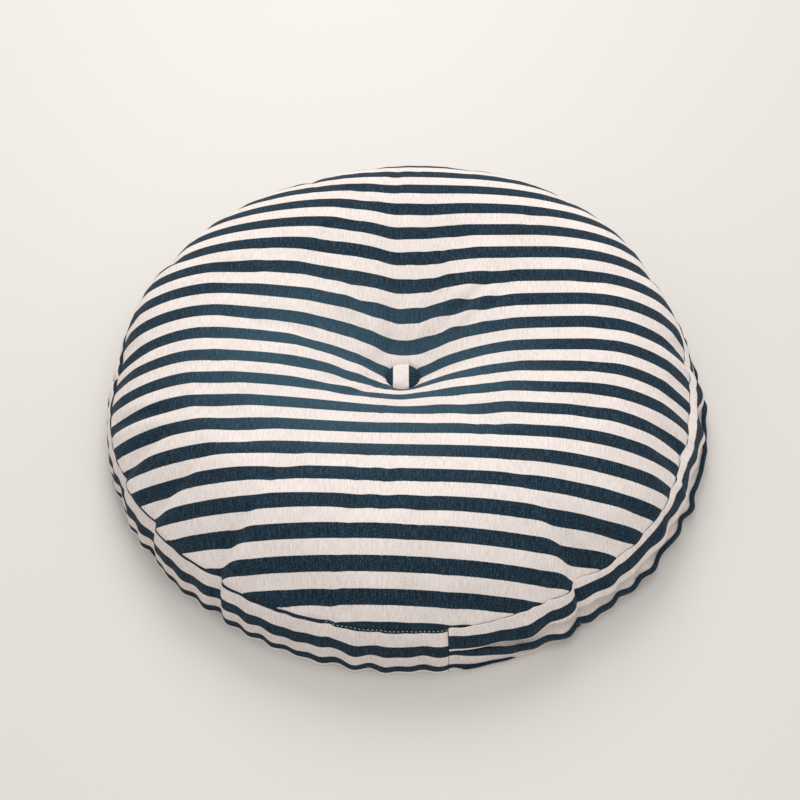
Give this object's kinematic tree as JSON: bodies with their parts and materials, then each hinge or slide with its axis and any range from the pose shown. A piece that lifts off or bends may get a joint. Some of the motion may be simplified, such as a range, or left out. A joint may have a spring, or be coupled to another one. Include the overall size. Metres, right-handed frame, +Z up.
{
  "type": "floor cushion",
  "caption": "Round box-edged floor cushion in striped cloth, tied through the middle with a covered button, with a lapped zip in its side band",
  "frame": {"origin": "On the floor under the cushion's centre", "axes": "+Z up along the tufting twine; the cloth's stripes run along X; -Y is the front, where the band's join seam shows"},
  "size_m": [0.5057, 0.5031, 0.1],
  "materials": {
    "striped_cloth": "plain-weave cotton-linen in navy and cream stripes, matt",
    "button_cloth": "the same cloth, mostly its navy stripe",
    "lining": "plain undyed cotton",
    "fibre": "loose white polyester fibre",
    "zip_tape": "woven navy tape",
    "zip_coil": "navy nylon coil",
    "zip_metal": "navy enamelled zinc",
    "button_metal": "pressed steel",
    "twine": "waxed tufting twine"
  },
  "bodies": {
    "base": {"bottom_panel": "striped_cloth", "band_plain": "striped_cloth", "zip_band_upper": "striped_cloth", "zip_band_lower": "striped_cloth", "inner_bag": "lining", "filling": "fibre", "bottom_button_cover": "button_cloth", "bottom_button_mould": "button_metal", "bottom_button_back": "button_metal", "bottom_button_eye": "button_metal", "twine_strand_front": "twine", "twine_strand_rear": "twine", "twine_knot": "twine"},
    "top_cover": {"top_panel": "striped_cloth"},
    "tuft": {"twine_hairpin": "twine"},
    "top_button": {"top_button_cover": "button_cloth", "top_button_mould": "button_metal", "top_button_back": "button_metal", "top_button_eye": "button_metal"},
    "zip_chain": {"zip_tape_upper": "zip_tape", "zip_tape_lower": "zip_tape", "zip_coil_upper": "zip_coil", "zip_coil_lower": "zip_coil", "zip_stop_front": "zip_metal", "zip_stop_rear": "zip_metal"},
    "slider": {"zip_slider": "zip_metal"},
    "pull": {"zip_pull": "zip_metal"}
  },
  "joints": [
    {"name": "sit_press", "type": "slide", "parent": "base", "child": "top_cover", "axis": [0, 0, -1], "range_m": [0, 0.034], "stiffness_N_per_m": 9000, "deforming": ["top_panel", "filling", "inner_bag", "band_plain", "zip_band_upper", "zip_band_lower", "twine_strand_front", "twine_strand_rear"]},
    {"name": "tuft_sink", "type": "slide", "parent": "base", "child": "tuft", "axis": [0, 0, -1], "range_m": [0, 0.019]},
    {"name": "top_button_twist", "type": "hinge", "parent": "tuft", "child": "top_button", "pos_m": [0, 0, 0.0543], "axis": [0, 0, 1], "range_deg": [-40, 40], "stiffness_Nm_per_rad": 0.002},
    {"name": "zip_sink", "type": "slide", "parent": "base", "child": "zip_chain", "axis": [0, 0, -1], "range_m": [0, 0.009]},
    {"name": "zip_slide", "type": "hinge", "parent": "zip_chain", "child": "slider", "pos_m": [0, 0, 0.026], "axis": [0, 0, 1], "range_deg": [-145, 0]},
    {"name": "zip_pull_flip", "type": "hinge", "parent": "slider", "child": "pull", "pos_m": [0.08667, 0.23812, 0.026], "axis": [0, 0, 1], "range_deg": [-175, 0]}
  ],
  "couplings": [
    {"joint": "tuft_sink", "follows": "sit_press", "ratio": 0.54},
    {"joint": "zip_sink", "follows": "sit_press", "ratio": 0.26}
  ]
}
